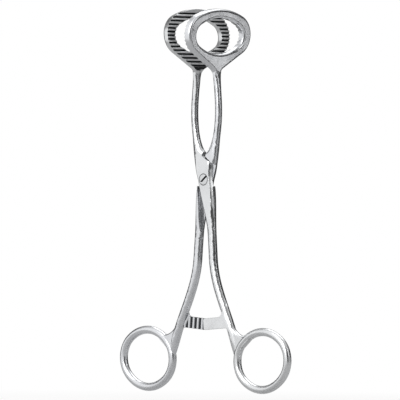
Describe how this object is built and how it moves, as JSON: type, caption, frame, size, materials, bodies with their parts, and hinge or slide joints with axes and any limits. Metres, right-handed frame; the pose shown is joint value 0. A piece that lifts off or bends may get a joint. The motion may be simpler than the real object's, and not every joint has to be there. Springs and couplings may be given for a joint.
{
  "type": "gallbladder forceps",
  "caption": "Ring-handled gallbladder forceps: serrated oval ring jaws across the plane of motion, bowed shanks, slotted screw lap joint and a toothed ratchet between the finger rings.",
  "frame": {"origin": "where the pivot axis meets the flat back face of the joint", "axes": "+Z along the closed forceps from the finger rings to the ring jaws, +X to the side that the right jaw opens to, +Y backwards along the pivot axis, away from the screw's head"},
  "size_m": [0.1226, 0.0464, 0.2],
  "materials": {
    "front_steel": "satin",
    "rear_steel": "satin",
    "screw_steel": "polished"
  },
  "bodies": {
    "rear": {"rear_half": "rear_steel", "pivot_screw": "screw_steel"},
    "front": {"front_half": "front_steel"}
  },
  "joints": [
    {"name": "pivot", "type": "hinge", "parent": "rear", "child": "front", "pos_m": [0, 0, 0], "axis": [0, -1, 0], "range_deg": [-8.7, 22]}
  ]
}
